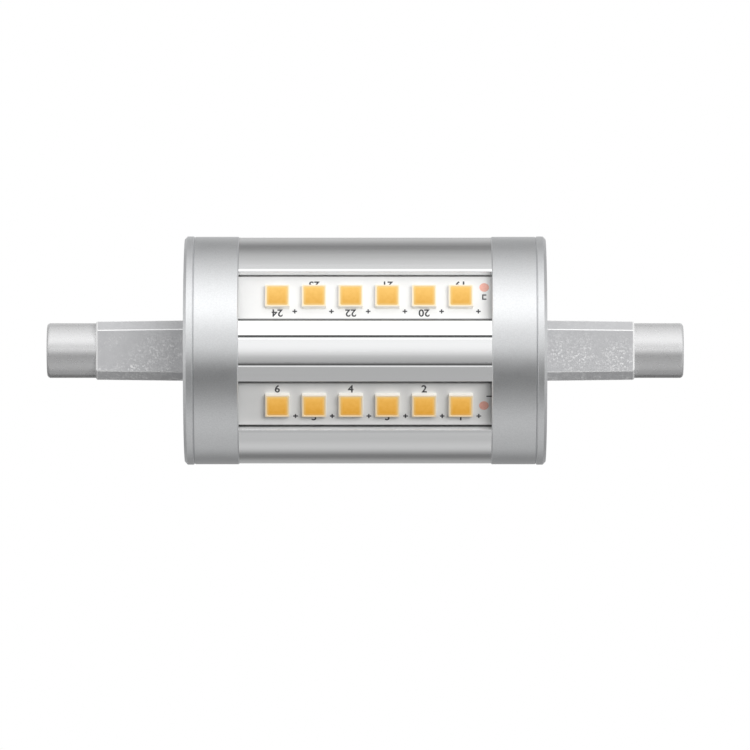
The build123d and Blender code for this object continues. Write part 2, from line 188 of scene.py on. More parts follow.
class DriverSettings(PropertyGroup):
    """Finishes of the driver and the wiring inside the heat sink."""

    tube: colour("Tube", "Colour of the insulating tube", (0.80, 0.80, 0.76))
    circuit_board: colour("Circuit board", "Colour of the driver's board", (0.03, 0.20, 0.08))
    component: colour("Component", "Colour of the moulded components", (0.03, 0.03, 0.032))
    resistor: colour("Resistor", "Colour of the fuse resistor", (0.22, 0.42, 0.36))
    can: colour("Can", "Colour of the capacitors", (0.03, 0.04, 0.09))
    ferrite: colour("Ferrite", "Colour of the transformer's core", (0.05, 0.05, 0.05))
    copper: colour("Copper", "Colour of the winding, the leads and the links", (0.72, 0.38, 0.20))
    wire_cover: colour("Wire cover", "Colour of the supply wires", (0.78, 0.78, 0.76))


class StudioSettings(PropertyGroup):
    """Floor, light and camera."""

    floor: colour("Floor", "Colour of the floor", (0.66, 0.66, 0.66))
    floor_drop: length("Floor drop", "How far below the lamp the floor lies", 90)
    key_radiance: brightness("Key", "Brightness of the softbox", 6.0)
    key_width: length("Key width", "Width of the softbox", 700)
    key_height: length("Key height", "Height of the softbox", 500)
    key_distance: length("Key distance", "Distance of the softbox from the lamp", 1100)
    key_azimuth: angle("Key azimuth", "Direction of the softbox, to the right of the camera", 25)
    key_elevation: angle("Key elevation", "Direction of the softbox, above the horizon", 13)
    fill_above: brightness("Fill above", "Brightness of the light from overhead", 0.95)
    fill_below: brightness("Fill below", "Brightness of the light from below", 0.06)
    camera_distance: length("Camera distance", "Distance of the camera from the lamp's axis", 1100)
    camera_right: length("Camera right", "How far to the right of the lamp's middle the camera stands", 1.2)
    camera_drop: length("Camera drop", "How far below the lamp's middle the camera aims", 3.0)
    camera_elevation: angle("Camera elevation", "How far the camera is turned up round the lamp", 0.4)
    lens: FloatProperty(name="Lens", description="Focal length", subtype="DISTANCE_CAMERA", default=430.3)


class Nodes:
    """Node tree of a material or a world, with short ways to add nodes and link them."""

    def __init__(self, tree):
        self.nodes = tree.nodes
        self.links = tree.links

    def feed(self, socket, value):
        """Link an input socket to another socket, or set it to a value."""
        if isinstance(value, bpy.types.NodeSocket):
            self.links.new(value, socket)
        else:
            socket.default_value = value

    def add(self, kind, **inputs):
        """New node, with its input sockets linked to other sockets or set to values."""
        node = self.nodes.new(kind)
        for label, value in inputs.items():
            self.feed(node.inputs[label.replace("_", " ")], value)
        return node

    def split(self, vector):
        """X, Y and Z of a vector."""
        return self.add("ShaderNodeSeparateXYZ", Vector=vector).outputs

    def between(self, pattern, low, high, start=0.3, end=0.7):
        """Pattern that goes from start to end, spread between two values."""
        spread = self.add(
            "ShaderNodeMapRange", Value=pattern, From_Min=start, From_Max=end, To_Min=low, To_Max=high
        )
        return spread.outputs[0]

    def combine(self, operation, first, second=0.0):
        """Pattern changed by a sum, with another pattern or a number where the sum takes two."""
        node = self.nodes.new("ShaderNodeMath")
        node.operation = operation
        self.feed(node.inputs[0], first)
        self.feed(node.inputs[1], second)
        return node.outputs[0]

    def combine_vectors(self, operation, first, second=(0, 0, 0)):
        """Vectors or colours put through a sum, as a vector and a value."""
        node = self.nodes.new("ShaderNodeVectorMath")
        node.operation = operation
        self.feed(node.inputs[0], first)
        self.feed(node.inputs[1], second)
        return node.outputs

    def mix_shaders(self, factor, first, second):
        """Shader that goes from one shader to another by a factor."""
        mixer = self.add("ShaderNodeMixShader", Fac=factor)
        self.links.new(first.outputs[0], mixer.inputs[1])
        self.links.new(second.outputs[0], mixer.inputs[2])
        return mixer

    def show(self, shader, output):
        """Use a shader as the surface of the material or the world."""
        self.links.new(shader.outputs[0], self.nodes[output].inputs["Surface"])


class Finish(Nodes):
    """Procedural material: a Principled shader, driven by patterns whose sizes are lengths on the lamp."""

    def __init__(self, name, base, metallic=0.0, roughness=0.5, **sockets):
        self.material = bpy.data.materials.new(name)
        self.material.use_nodes = True
        super().__init__(self.material.node_tree)
        self.shader = self.nodes["Principled BSDF"]
        self.shader.inputs["Base Color"].default_value = (*base, 1.0)
        self.shader.inputs["Metallic"].default_value = metallic
        self.shader.inputs["Roughness"].default_value = roughness
        for socket, value in sockets.items():
            self.shader.inputs[socket.replace("_", " ")].default_value = value
        self.places = self.nodes.new("ShaderNodeTexCoord").outputs["Object"]

    def grain(self, *sizes, detail=3.0):
        """Cloudy pattern whose patches have one size, or sizes of their own along X, Y and Z."""
        scale = [1.0 / size for size in sizes] * (3 // len(sizes))
        places = self.add("ShaderNodeMapping", Vector=self.places, Scale=scale)
        clouds = self.add("ShaderNodeTexNoise", Vector=places.outputs[0], Scale=1.0, Detail=detail)
        return clouds.outputs[0]

    def flakes(self, size):
        """Pattern of small cells, each with a value of its own."""
        places = self.add("ShaderNodeMapping", Vector=self.places, Scale=[1.0 / size] * 3)
        cells = self.add("ShaderNodeTexVoronoi", Vector=places.outputs[0], Scale=1.0)
        return self.add("ShaderNodeSeparateColor", Color=cells.outputs["Color"]).outputs[0]

    def height(self):
        """Height of a place above the lamp's axis."""
        return self.split(self.places)["Z"]

    def height_in_row(self, row, reach):
        """Height of a place in the nearer of two rows at the heights row and -row, from 0 to 1."""
        height = self.height()
        middle = self.combine("MULTIPLY", self.combine("SIGN", height), row)
        return self.between(self.combine("SUBTRACT", height, middle), 0.0, 1.0, -reach, reach)

    def along(self, direction):
        """Distance of a place along a direction, the same in every mirrored part of the lamp."""
        mirrored = self.combine_vectors("ABSOLUTE", self.places)["Vector"]
        return self.combine_vectors("DOT_PRODUCT", mirrored, direction)["Value"]

    def distance_from(self, pattern, value):
        """How far a pattern is from a value."""
        return self.combine("ABSOLUTE", self.combine("SUBTRACT", pattern, value))

    def rounded_edges(self, sides):
        """Mask of a prism's rounded edges along X: 0 on its flat sides, 1 half-way round an edge."""
        normal = self.split(self.add("ShaderNodeNewGeometry").outputs["Normal"])
        turn = self.combine("ARCTAN2", normal["Z"], normal["Y"])
        wave = self.combine("COSINE", self.combine("MULTIPLY", turn, sides))
        return self.between(wave, 1.0, 0.0, start=0.5, end=0.98)

    def depth_of_colour(self):
        """Depth of colour that the points of a piece carry."""
        depth = self.nodes.new("ShaderNodeAttribute")
        depth.attribute_name = DEPTH
        return depth.outputs["Fac"]

    def source(self, socket):
        """Output socket that a socket of the shader takes its value from."""
        return self.shader.inputs[socket].links[0].from_socket

    def vary(self, socket, pattern, low, high, start=0.3, end=0.7):
        """Shader socket that follows a pattern from one value to another."""
        self.links.new(self.between(pattern, low, high, start, end), self.shader.inputs[socket])

    def vary_colour(self, pattern, low, high, start=0.3, end=0.7, socket="Base Color"):
        """Base colour, or another colour socket, that follows a pattern from one colour to another."""
        ramp = self.add("ShaderNodeValToRGB", Fac=pattern)
        first, last = ramp.color_ramp.elements
        first.position = start
        first.color = (*low, 1.0)
        last.position = end
        last.color = (*high, 1.0)
        self.links.new(ramp.outputs[0], self.shader.inputs[socket])

    def blend_colour(self, kept, other, socket):
        """Colour socket blended into another colour where less of its own is kept."""
        mixer = self.nodes.new("ShaderNodeMix")
        mixer.data_type = "RGBA"
        factor, before, after = mixer.inputs[0], mixer.inputs[6], mixer.inputs[7]
        before.default_value = (*other, 1.0)
        self.links.new(kept, factor)
        self.links.new(self.source(socket), after)
        self.links.new(mixer.outputs[2], self.shader.inputs[socket])

    def darken(self, mask, amount):
        """Base colour made darker where a mask says."""
        kept = self.between(mask, 1.0, 1.0 - amount, 0.0, 1.0)
        darker = self.combine_vectors("MULTIPLY", self.source("Base Color"), kept)
        self.links.new(darker["Vector"], self.shader.inputs["Base Color"])

    def bump(self, pattern, height, strength):
        """Fine relief of the given height."""
        relief = self.add("ShaderNodeBump", Height=pattern, Distance=height, Strength=strength)
        self.links.new(relief.outputs[0], self.shader.inputs["Normal"])


def shade(tone, factor):
    """Colour made darker or lighter."""
    return [min(1.0, channel * factor) for channel in tone]


def tint(tone, factors):
    """Colour with each of its channels changed by a factor of its own."""
    return [channel * factor for channel, factor in zip(tone, factors)]


def extruded_aluminium(settings):
    """Drawn aluminium with faint lines along the lamp, and painted shade at the feet of its score grooves.
    """
    rough = settings.aluminium_roughness
    finish = Finish("extruded_aluminium", settings.aluminium, metallic=1.0, roughness=rough)
    lines = finish.grain(40 * MM, 0.3 * MM, 0.3 * MM)
    finish.vary_colour(lines, shade(settings.aluminium, 0.985), shade(settings.aluminium, 1.01))
    # Painted shade: the feet of the score grooves are darkened where the narrow slots would hold shade
    off_groove = finish.distance_from(finish.along((0, 0, 1)), settings.groove_place)
    half = settings.groove_line / 2
    soft = 0.02 * MM
    painted_groove_shade = finish.between(off_groove, 1.0, 0.0, half - soft, half + soft)
    finish.darken(painted_groove_shade, settings.groove_shade)
    finish.vary("Roughness", lines, rough - 0.01, rough + 0.02)
    return finish.material


def silver_paint(name, silver, rough):
    """Satin silver paint with very fine flakes."""
    finish = Finish(name, silver, metallic=1.0, roughness=rough)
    flakes = finish.flakes(0.09 * MM)
    finish.vary_colour(flakes, shade(silver, 0.95), shade(silver, 1.03), start=0.1, end=0.9)
    finish.vary("Roughness", finish.grain(1.5 * MM), rough - 0.015, rough + 0.015)
    finish.bump(finish.grain(0.35 * MM), height=0.002 * MM, strength=0.3)
    return finish.material


def sparkle_grey(settings):
    """Grey moulding with patches of sparkling flakes, thicker low down, and painted highlights along its
    edges and round its outer end.
    """
    rough = settings.post_roughness
    finish = Finish("sparkle_grey", settings.post, metallic=settings.post_metal, roughness=rough)
    cells = finish.flakes(settings.flake)
    light_flakes = finish.between(cells, 0.0, 0.75, start=0.72, end=0.88)
    dark_flakes = finish.between(cells, -0.4, 0.0, start=0.1, end=0.22)
    patches = finish.between(finish.grain(2.6 * MM), 0.05, 1.0, start=0.36, end=0.54)
    low_down = finish.between(finish.height(), 1.0, 0.12, start=-1.0 * MM, end=2.2 * MM)
    patches = finish.combine("MULTIPLY", patches, low_down)
    sparkle = finish.combine("MULTIPLY", finish.combine("ADD", light_flakes, dark_flakes), patches)
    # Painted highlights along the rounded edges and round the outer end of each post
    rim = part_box("contact_post_right")[1].x - settings.rubbed_rim
    soft = 0.05 * MM
    rubbed_rim = finish.between(finish.along((1, 0, 0)), 0.0, 1.0, rim - soft, rim + soft)
    painted_highlights = finish.combine("MAXIMUM", finish.rounded_edges(POST_SIDES), rubbed_rim)
    flakes_and_highlights = finish.combine("MAXIMUM", sparkle, painted_highlights)
    clouds = finish.between(finish.grain(0.9 * MM), -0.04, 0.04)
    # From the darkest flakes, past 0 for the post's own colour, to 1 for the sparkle's, which the painted
    # highlights take as well
    darkest = -0.5
    tones = finish.between(finish.combine("ADD", flakes_and_highlights, clouds), 0.0, 1.0, start=darkest, end=1.0)
    dark_grey = [grey + darkest * (white - grey) for grey, white in zip(settings.post, settings.sparkle)]
    finish.vary_colour(tones, dark_grey, settings.sparkle, 0.0, 1.0)
    finish.vary("Roughness", flakes_and_highlights, rough, 0.6 * rough, 0.0, 1.0)
    finish.bump(finish.grain(0.3 * MM), height=0.004 * MM, strength=0.3)
    return finish.material


def smooth_grey(settings):
    """Smooth silver-grey finish of the round ends."""
    grey = settings.round_end
    rough = settings.round_end_roughness
    finish = Finish("smooth_grey", grey, metallic=settings.round_end_metal, roughness=rough)
    finish.vary_colour(finish.flakes(0.12 * MM), shade(grey, 0.98), shade(grey, 1.02), start=0.1, end=0.9)
    finish.vary("Roughness", finish.grain(0.8 * MM), rough - 0.02, rough + 0.03)
    finish.bump(finish.grain(0.25 * MM), height=0.002 * MM, strength=0.15)
    return finish.material


def plated_contact(settings):
    """Plated metal with fine turning marks."""
    finish = Finish("contact_metal", settings.contact, metallic=1.0, roughness=0.28)
    marks = finish.grain(0.5 * MM, 0.08 * MM, 0.08 * MM)
    finish.vary_colour(marks, shade(settings.contact, 0.9), shade(settings.contact, 1.05))
    finish.vary("Roughness", marks, 0.22, 0.36)
    return finish.material


def board_mask(settings):
    """White solder mask, slightly uneven, with painted shade in a band along the long edges that lie in
    shade, and a darker cut edge there from its core's colour and painted shade.
    """
    finish = Finish("board_white", settings.white, roughness=0.42, Specular_IOR_Level=0.4)
    finish.vary_colour(finish.grain(2.5 * MM), shade(settings.white, 0.98), shade(settings.white, 1.01))
    board = flat_frame(FLATS[0])
    middle = Vector(map(abs, board.translation))
    outward = Vector(map(abs, board.col[2].xyz))
    across = Vector((0, -outward.z, outward.y))
    half = local_box(f"led_board_{FLATS[0]}", board)[1].y - settings.bare_margin
    soft = 0.05 * MM
    off_middle = finish.combine("SUBTRACT", finish.along(across), middle.dot(across))
    # Painted shade along the edge by the bar, and along the outer edge of the lower boards only
    by_the_bar = finish.between(off_middle, 1.0, 0.0, -half - soft, -half + soft)
    outer = finish.between(off_middle, 0.0, 1.0, half - soft, half + soft)
    lower_rows = finish.between(finish.height(), 1.0, 0.0, -soft, soft)
    painted_shade_band = finish.combine("MAXIMUM", by_the_bar, finish.combine("MULTIPLY", outer, lower_rows))
    top = middle.dot(outward)
    core = finish.between(finish.along(outward), 1.0, 0.0, start=top - 0.08 * MM, end=top - 0.03 * MM)
    # The cut edge is darkened only inside that band, partly for the core's own colour and partly as painted
    # shade
    finish.darken(finish.combine("MULTIPLY", core, painted_shade_band), settings.core_shade)
    finish.darken(painted_shade_band, settings.margin_shade)
    finish.vary("Roughness", finish.grain(0.3 * MM), 0.38, 0.48)
    finish.bump(finish.grain(0.4 * MM), height=0.003 * MM, strength=0.4)
    return finish.material


def printed(name, ink):
    """Matt print with a slightly broken colour."""
    finish = Finish(name, ink, roughness=0.6)
    finish.vary_colour(finish.grain(0.08 * MM), shade(ink, 0.85), shade(ink, 1.2))
    return finish.material


def package_plastic(settings):
    """White moulding of the LED packages, with a painted warm tint and a painted glow at the rim that stand
    in for light from the fill.
    """
    finish = Finish("led_white", settings.package, roughness=0.38, Emission_Strength=1.0)
    grain = finish.grain(0.25 * MM)
    depth = finish.depth_of_colour()
    # Painted light at the rim and in the cavity: a warm tint and a glow where the depth is high
    finish.vary_colour(grain, shade(settings.rim_colour, 0.98), shade(settings.rim_colour, 1.01))
    finish.blend_colour(depth, settings.package, "Base Color")
    finish.vary_colour(depth, shade(settings.spill, 0.15), settings.spill, 0.0, 1.0, "Emission Color")
    finish.vary("Roughness", grain, 0.33, 0.45)
    return finish.material


def phosphor(settings):
    """Yellow silicone full of phosphor grains, with a painted glow, painted lighter high up and darker low
    down as light falls on it, and pale where thin.
    """
    finish = Finish("led_yellow", settings.phosphor, roughness=0.3, Emission_Strength=1.0)
    low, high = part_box("led_fill_front_upper")
    height = finish.height_in_row((low.z + high.z) / 2, (high.z - low.z) / 2)
    grains = finish.between(finish.grain(0.5 * MM, detail=5.0), -0.12, 0.12)
    # Painted light and shade: the fill is lighter at the top of its row and darker at the bottom
    painted_light_and_grains = finish.combine("ADD", height, grains)
    depth = finish.depth_of_colour()
    painted_shade_low = (0.84, 0.79, 1.0)
    painted_light_high = (1.05, 1.16, 3.5)
    # The emission colours are a painted glow
    colours = {
        "Base Color": (settings.phosphor, settings.thin_phosphor),
        "Emission Color": (settings.glow, settings.thin_glow),
    }
    for socket, (full, thin) in colours.items():
        finish.vary_colour(painted_light_and_grains, tint(full, painted_shade_low), tint(full, painted_light_high), 0.0, 1.0, socket)
        finish.blend_colour(depth, thin, socket)
    finish.bump(finish.grain(0.06 * MM), height=0.004 * MM, strength=0.4)
    return finish.material


def moulded(name, tone, rough, grain_size=0.4 * MM):
    """Plain moulded or coated surface with a little grain."""
    finish = Finish(name, tone, roughness=rough)
    grain = finish.grain(grain_size)
    finish.vary_colour(grain, shade(tone, 0.9), shade(tone, 1.08))
    finish.vary("Roughness", grain, rough - 0.05, rough + 0.05)
    finish.bump(grain, height=0.004 * MM, strength=0.3)
    return finish.material


def bare_metal(name, tone, rough):
    """Bare drawn metal."""
    finish = Finish(name, tone, metallic=1.0, roughness=rough)
    marks = finish.grain(0.6 * MM, 0.15 * MM, 0.15 * MM)
    finish.vary_colour(marks, shade(tone, 0.9), shade(tone, 1.05))
    finish.vary("Roughness", marks, rough - 0.06, rough + 0.06)
    return finish.material


def node_object(node):
    """Object of a piece of the lamp as it was built."""
    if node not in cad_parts:
        raise RuntimeError(f"the lamp has no piece named {node}")
    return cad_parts[node]


def finish_nodes(nodes, material):
    """Give pieces of the lamp a material."""
    for node in nodes:
        node_object(node).material_slots[0].material = material


def add_piece(mesh, material, replaced=()):
    """New piece of the lamp, named as its mesh is, which rides on the body and may stand for built ones."""
    mesh.materials.append(material)
    piece = bpy.data.objects.new(mesh.name, mesh)
    bpy.context.scene.collection.objects.link(piece)
    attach(piece, BODY)
    if replaced:
        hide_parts(*replaced)


def flat_leds(flat):
    """Numbers of the LEDs of a flat."""
    first = FLATS.index(flat) * LEDS_PER_FLAT + 1
    return range(first, first + LEDS_PER_FLAT)


def flat_frame(flat):
    """Place of a board: X along the lamp, Y away from the bar, Z out of the middle of its upper face."""

    def area_if_outer(face):
        return face.area if face.normal.dot(face.center) > 0 else 0.0

    mesh = node_object(f"led_board_{flat}").data
    outward = max(mesh.polygons, key=area_if_outer).normal.copy()
    away = outward.cross(Vector((1, 0, 0)))
    if away.z * outward.z < 0:
        away.negate()
    along = away.cross(outward)
    tops = [vertex.co.dot(outward) for vertex in mesh.vertices]
    sides = [vertex.co.dot(away) for vertex in mesh.vertices]
    origin = outward * max(tops) + away * (min(sides) + max(sides)) / 2
    rows = zip(along, away, outward, origin)
    return Matrix([*rows, (0, 0, 0, 1)])


def local_box(node, place):
    """Lowest and highest corner of a piece as built, in the axes of a board."""
    corners = [place.inverted() @ vertex.co for vertex in node_object(node).data.vertices]
    return Vector(map(min, *corners)), Vector(map(max, *corners))


def rounded_square(half, corner, height, steps=5):
    """Points of a square with round corners, at a height."""
    points = []
    reach = half - corner
    for quarter in range(4):
        turn = Matrix.Rotation(quarter * math.pi / 2, 2)
        for step in range(steps + 1):
            bend = step / steps * math.pi / 2
            point = turn @ Vector((reach + corner * math.cos(bend), reach + corner * math.sin(bend)))
            points.append((point.x, point.y, height))
    return points


def box_points(low, high, height):
    """Corners of a flat bar, at a height."""
    corners = ((low[0], low[1]), (high[0], low[1]), (high[0], high[1]), (low[0], high[1]))
    return [(x, y, height) for x, y in corners]


def disc_points(radius, height, count=40):
    """Points of a circle, at a height."""
    turns = [2 * math.pi * i / count for i in range(count)]
    return [(radius * math.cos(turn), radius * math.sin(turn), height) for turn in turns]


def loft_rings(shape, rings, place, depths=None):
    """Closed skin over a stack of rings of equally many points; each ring may have a depth of colour."""
    if depths:
        layer = shape.verts.layers.float.get(DEPTH) or shape.verts.layers.float.new(DEPTH)
    loops = [[shape.verts.new(place @ Vector(point)) for point in ring] for ring in rings]
    if depths:
        for loop, depth in zip(loops, depths):
            for point in loop:
                point[layer] = depth
    count = len(loops[0])
    for lower, upper in zip(loops, loops[1:]):
        for i in range(count):
            after = (i + 1) % count
            shape.faces.new((lower[i], lower[after], upper[after], upper[i]))
    shape.faces.new(reversed(loops[0]))
    shape.faces.new(loops[-1])


def mesh_from(name, build, smooth=True):
    """Mesh that a function builds, with its faces turned outwards and its sharp edges kept."""
    sharp = math.radians(35)
    shape = bmesh.new()
    build(shape)
    bmesh.ops.recalc_face_normals(shape, faces=shape.faces)
    mesh = bpy.data.meshes.new(name)
    shape.to_mesh(mesh)
    shape.free()
    if smooth:
        mesh.shade_smooth()
        mesh.set_sharp_from_angle(angle=sharp)
    return mesh


def loft_mesh(name, lofts):
    """Mesh of one or more skins, each given by its rings, their depths of colour and its place."""

    def build(shape):
        for rings, depths, place in lofts:
            loft_rings(shape, rings, place, depths)

    return mesh_from(name, build)


def package_rings(size, height, settings):
    """Rings of an LED package, up its sides, over its rim and into its cavity, and their depths."""
    half = size / 2
    edge = settings.edge
    mouth = half - settings.rim
    corner = settings.package_corner
    floor = height - settings.cavity_depth
    soft = 0.3 * edge
    rings = [
        rounded_square(half, corner, 0),
        rounded_square(half, corner, height - edge),
        rounded_square(half - soft, corner, height - soft),
        rounded_square(half - edge, corner, height),
        rounded_square(mouth + soft, 1.7 * corner, height),
        rounded_square(mouth, 1.6 * corner, height - soft),
        rounded_square(mouth - settings.rim, 1.4 * corner, floor),
    ]
    return rings, (0.0, 0.0, 0.3, 0.7, 1.0, 1.0, 1.0)


def fill_rings(size, height, settings):
    """Rings of an LED's fill, up from the cavity's floor to a slightly domed top, and their depths."""
    gap = 0.012 * MM
    mouth = size / 2 - settings.rim
    corner = settings.fill_corner
    dome = settings.dome
    floor = height - settings.cavity_depth + 0.1 * dome
    brim = height - dome
    rings = [
        rounded_square(mouth - settings.rim - gap, 0.8 * corner, floor),
        rounded_square(mouth - 2 * gap, corner, brim),
    ]
    for inset, roundness, rise in ((0.1 * MM, 0.9, 0.5), (0.35 * MM, 0.8, 0.84), (0.8 * MM, 0.6, 1.0)):
        rings.append(rounded_square(mouth - inset, roundness * corner, brim + rise * dome))
    return rings, (0.0, 0.1, 0.6, 1.0, 1.0)


def add_bar(shape, place, low, high, height):
    """Thin printed bar between two corners, on a board."""
    loft_rings(shape, [box_points(low, high, 0), box_points(low, high, height)], place)


def add_number(shape, place, number, settings):
    """Printed number on a board."""
    height = settings.ink_height
    text = bpy.data.curves.new("number", "FONT")
    text.body = str(number)
    text.size = settings.number_height
    text.align_x = "CENTER"
    text.align_y = "CENTER"
    text.extrude = height / 2
    text.offset = settings.boldness
    text.resolution_u = 3
    writing = bpy.data.objects.new("number", text)
    bpy.context.scene.collection.objects.link(writing)
    graph = bpy.context.evaluated_depsgraph_get()
    mesh = bpy.data.meshes.new_from_object(writing.evaluated_get(graph))
    bpy.data.objects.remove(writing)
    bpy.data.curves.remove(text)
    mesh.transform(place @ Matrix.Translation((0, 0, height / 2)))
    shape.from_mesh(mesh)
    bpy.data.meshes.remove(mesh)


class LAMP_OT_heat_sink(Operator):
    """Finish the extruded heat sink"""

    bl_idname = "lamp.heat_sink"
    bl_label = "Heat Sink"
    bl_options = {"REGISTER", "UNDO"}

    def execute(self, context):
        finish_nodes(["heat_sink"], extruded_aluminium(context.scene.lamp_body))
        return {"FINISHED"}


class LAMP_OT_end_sleeves(Operator):
    """Finish the silver sleeves over the ends of the heat sink"""

    bl_idname = "lamp.end_sleeves"
    bl_label = "End Sleeves"
    bl_options = {"REGISTER", "UNDO"}

    def execute(self, context):
        settings = context.scene.lamp_body
        paint = silver_paint("sleeve_silver", settings.silver, settings.sleeve_roughness)
        finish_nodes([f"end_sleeve_{end}" for end in ENDS], paint)
        return {"FINISHED"}


class LAMP_OT_end_caps(Operator):
    """Finish the silver caps"""

    bl_idname = "lamp.end_caps"
    bl_label = "End Caps"
    bl_options = {"REGISTER", "UNDO"}

    def execute(self, context):
        settings = context.scene.lamp_body
        paint = silver_paint("cap_silver", settings.silver, settings.cap_roughness)
        finish_nodes([f"end_cap_{end}" for end in ENDS], paint)
        return {"FINISHED"}


class LAMP_OT_contact_posts(Operator):
    """Finish the square posts"""

    bl_idname = "lamp.contact_posts"
    bl_label = "Contact Posts"
    bl_options = {"REGISTER", "UNDO"}

    def execute(self, context):
        finish_nodes([f"contact_post_{end}" for end in ENDS], sparkle_grey(context.scene.lamp_ends))
        return {"FINISHED"}


class LAMP_OT_round_ends(Operator):
    """Finish the round end insulators and the contacts in their recesses"""

    bl_idname = "lamp.round_ends"
    bl_label = "Round Ends"
    bl_options = {"REGISTER", "UNDO"}

    def execute(self, context):
        settings = context.scene.lamp_ends
        finish_nodes([f"end_insulator_{end}" for end in ENDS], smooth_grey(settings))
        finish_nodes([f"end_contact_{end}" for end in ENDS], plated_contact(settings))
        return {"FINISHED"}


class LAMP_OT_led_boards(Operator):
    """Finish the LED boards"""

    bl_idname = "lamp.led_boards"
    bl_label = "LED Boards"
    bl_options = {"REGISTER", "UNDO"}

    def execute(self, context):
        finish_nodes([f"led_board_{flat}" for flat in FLATS], board_mask(context.scene.lamp_boards))
        return {"FINISHED"}


class LAMP_OT_leds(Operator):
    """Build the LED packages and their fills"""

    bl_idname = "lamp.leds"
    bl_label = "LEDs"
    bl_options = {"REGISTER", "UNDO"}

    def execute(self, context):
        settings = context.scene.lamp_leds
        white = package_plastic(settings)
        yellow = phosphor(settings)
        for flat in FLATS:
            board = flat_frame(flat)
            fills = []
            for number in flat_leds(flat):
                node = f"led_{number:02d}"
                low, high = local_box(node, board)
                middle = (low + high) / 2
                size = high.x - low.x
                place = board @ Matrix.Translation((middle.x, middle.y, 0))
                package = (*package_rings(size, high.z, settings), place)
                fills.append((*fill_rings(size, high.z, settings), place))
                add_piece(loft_mesh(f"package_{number:02d}", [package]), white, [node])
            add_piece(loft_mesh(f"phosphor_{flat}", fills), yellow, [f"led_fill_{flat}"])
        return {"FINISHED"}


class LAMP_OT_board_print(Operator):
    """Print the numbers, polarity marks and test dots on the LED boards"""

    bl_idname = "lamp.board_print"
    bl_label = "Board Print"
    bl_options = {"REGISTER", "UNDO"}

    # Places along the lamp and away from the bar, first from an LED and then from a board's middle
    plus_places = {"upper": (2.12 * MM, -1.85 * MM), "lower": (-2.2 * MM, 1.65 * MM)}
    dot_places = {"upper": (14.48 * MM, 1.42 * MM), "lower": (-14.44 * MM, 0.22 * MM)}
    bracket_place = (14.3 * MM, 0.1 * MM)
    bracket_half = 0.36 * MM
    dash_place = (-15.3 * MM, -1.05 * MM)

    def execute(self, context):
        settings = context.scene.lamp_boards
        ink = printed("print_ink", settings.ink)
        red = printed("test_dot_red", settings.dot)
        for flat in FLATS:
            board = flat_frame(flat)
            level = flat.split("_")[1]

            def print_marks(shape):
                self.add_led_marks(shape, board, flat, level, settings)
                self.add_end_mark(shape, board, level, settings)

            add_piece(mesh_from(f"print_{flat}", print_marks, smooth=False), ink)
            dot = (self.dot_rings(settings), None, self.on_board(board, self.dot_places[level]))
            add_piece(loft_mesh(f"test_dot_{flat}", [dot]), red)
        return {"FINISHED"}

    def on_board(self, board, place):
        """Place on a board, from its middle."""
        return board @ Matrix.Translation((*place, 0))

    def add_led_marks(self, shape, board, flat, level, settings):
        """Number and polarity mark beside each LED."""
        half = settings.plus_size / 2
        stroke = settings.stroke / 2
        thick = settings.ink_height
        across, away = self.plus_places[level]
        for number in flat_leds(flat):
            low, high = local_box(f"led_{number:02d}", board)
            middle = (low + high) / 2
            beside = settings.odd_place if number % 2 else -settings.even_place
            upside_down = Matrix.Rotation(math.pi, 4, "Z")
            place = self.on_board(board, (middle.x, middle.y + beside)) @ upside_down
            add_number(shape, place, number, settings)
            plus = self.on_board(board, (middle.x + across, middle.y + away))
            add_bar(shape, plus, (-half, -stroke), (half, stroke), thick)
            add_bar(shape, plus, (-stroke, stroke), (stroke, half), thick)
            add_bar(shape, plus, (-stroke, -half), (stroke, -stroke), thick)

    def add_end_mark(self, shape, board, level, settings):
        """Bracket at the end of an upper board, or dash at the end of a lower one."""
        half = settings.plus_size / 2
        stroke = settings.stroke / 2
        thick = settings.ink_height
        if level == "upper":
            bracket = self.on_board(board, self.bracket_place)
            reach = self.bracket_half
            add_bar(shape, bracket, (-stroke, -reach), (stroke, reach), thick)
            for side in (-reach, reach - 2 * stroke):
                add_bar(shape, bracket, (stroke, side), (stroke + reach, side + 2 * stroke), thick)
        else:
            dash = self.on_board(board, self.dash_place)
            add_bar(shape, dash, (-half, -stroke), (2 * half, stroke), thick)

    def dot_rings(self, settings):
        """Rings of a round dot with a soft edge."""
        radius = settings.dot_diameter / 2
        thick = settings.ink_height
        return [
            disc_points(radius, 0),
            disc_points(0.96 * radius, 0.7 * thick),
            disc_points(0.8 * radius, thick),
        ]


class LAMP_OT_driver(Operator):
    """Finish the insulating tube, the driver board and its components"""

    bl_idname = "lamp.driver"
    bl_label = "Driver"
    bl_options = {"REGISTER", "UNDO"}

    def execute(self, context):
        settings = context.scene.lamp_driver
        finish_nodes(["insulating_tube"], moulded("tube_plastic", settings.tube, rough=0.4))
        finish_nodes(["driver_board"], moulded("board_green", settings.circuit_board, rough=0.35))
        black = moulded("black_package", settings.component, rough=0.45, grain_size=0.15 * MM)
        finish_nodes(["bridge_rectifier", "control_chip", "chip_resistors"], black)
        finish_nodes(["fuse_resistor"], moulded("resistor_body", settings.resistor, rough=0.4))
        cans = ["input_capacitor", "output_capacitor"]
        finish_nodes(cans, moulded("capacitor_can", settings.can, rough=0.3))
        ferrite = moulded("ferrite", settings.ferrite, rough=0.6, grain_size=0.2 * MM)
        finish_nodes(["transformer_core"], ferrite)
        return {"FINISHED"}


